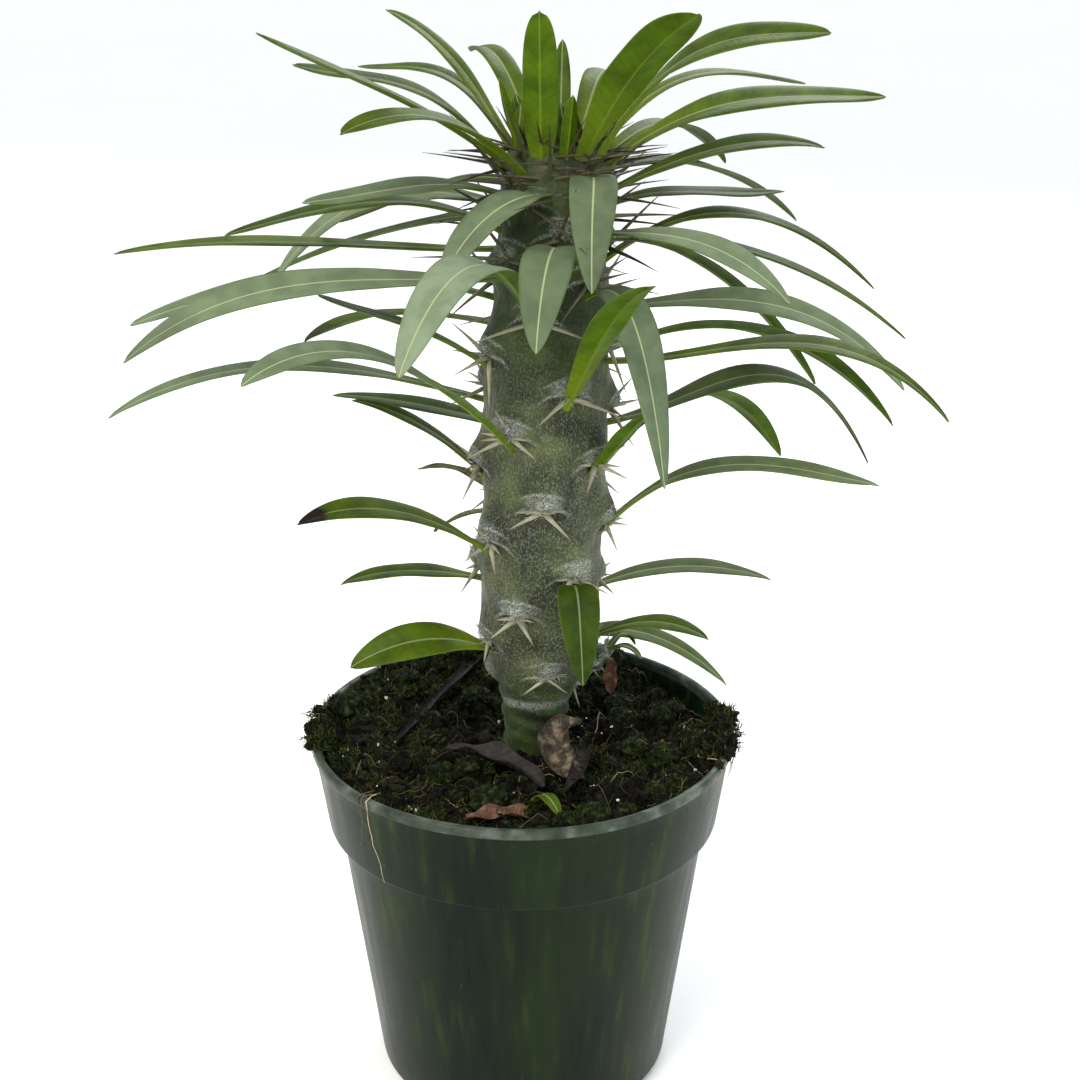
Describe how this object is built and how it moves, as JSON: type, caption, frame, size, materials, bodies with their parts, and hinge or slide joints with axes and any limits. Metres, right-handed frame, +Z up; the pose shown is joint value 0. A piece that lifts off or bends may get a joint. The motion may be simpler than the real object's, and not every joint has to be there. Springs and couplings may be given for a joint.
{
  "type": "potted pachypodium",
  "caption": "Spiny-stemmed succulent with a crown of long narrow leaves, growing in peat in a tapered plastic nursery pot that stands on its flat foot.",
  "frame": {"origin": "centre of the pot's foot, on the surface that it stands on", "axes": "+Z up along the pot's axis, -Y toward the plant's front, +X to the right seen from the front"},
  "size_m": [0.1907, 0.1394, 0.2695],
  "materials": {
    "pot_plastic": "satin",
    "peat": "matte",
    "stem_skin": "satin",
    "leaf": "satin",
    "young_leaf": "satin",
    "dried_leaf": "matte"
  },
  "bodies": {
    "root": {"pot": "pot_plastic", "soil": "peat", "stem": "stem_skin", "leaf_04": "leaf", "leaf_05": "leaf", "leaf_06": "leaf", "leaf_09": "leaf", "leaf_10": "leaf", "leaf_11": "leaf", "leaf_12": "dried_leaf", "leaf_13": "leaf", "leaf_14": "leaf", "leaf_15": "dried_leaf", "leaf_17": "leaf", "leaf_18": "leaf", "leaf_19": "leaf", "leaf_20": "leaf", "leaf_21": "leaf", "leaf_22": "leaf", "leaf_23": "leaf", "leaf_24": "leaf", "leaf_25": "leaf", "leaf_26": "leaf", "leaf_27": "leaf", "leaf_28": "leaf", "leaf_29": "leaf", "leaf_30": "leaf", "leaf_31": "leaf", "leaf_32": "leaf", "leaf_33": "leaf", "leaf_34": "leaf", "leaf_35": "leaf", "leaf_36": "leaf", "leaf_37": "leaf", "leaf_38": "leaf", "leaf_39": "leaf", "leaf_40": "leaf", "leaf_41": "leaf", "leaf_43": "leaf", "leaf_44": "leaf", "leaf_46": "leaf", "leaf_47": "leaf", "leaf_48": "leaf", "leaf_49": "leaf", "leaf_50": "leaf", "leaf_52": "leaf", "leaf_53": "leaf", "leaf_54": "leaf", "leaf_55": "leaf", "leaf_56": "young_leaf", "leaf_57": "young_leaf", "leaf_59": "young_leaf", "leaf_60": "young_leaf", "leaf_61": "young_leaf", "leaf_63": "young_leaf", "leaf_64": "young_leaf", "leaf_66": "young_leaf", "fallen_leaf_long": "dried_leaf", "fallen_leaf_curled": "dried_leaf", "sprout_leaf": "young_leaf"}
  },
  "joints": []
}
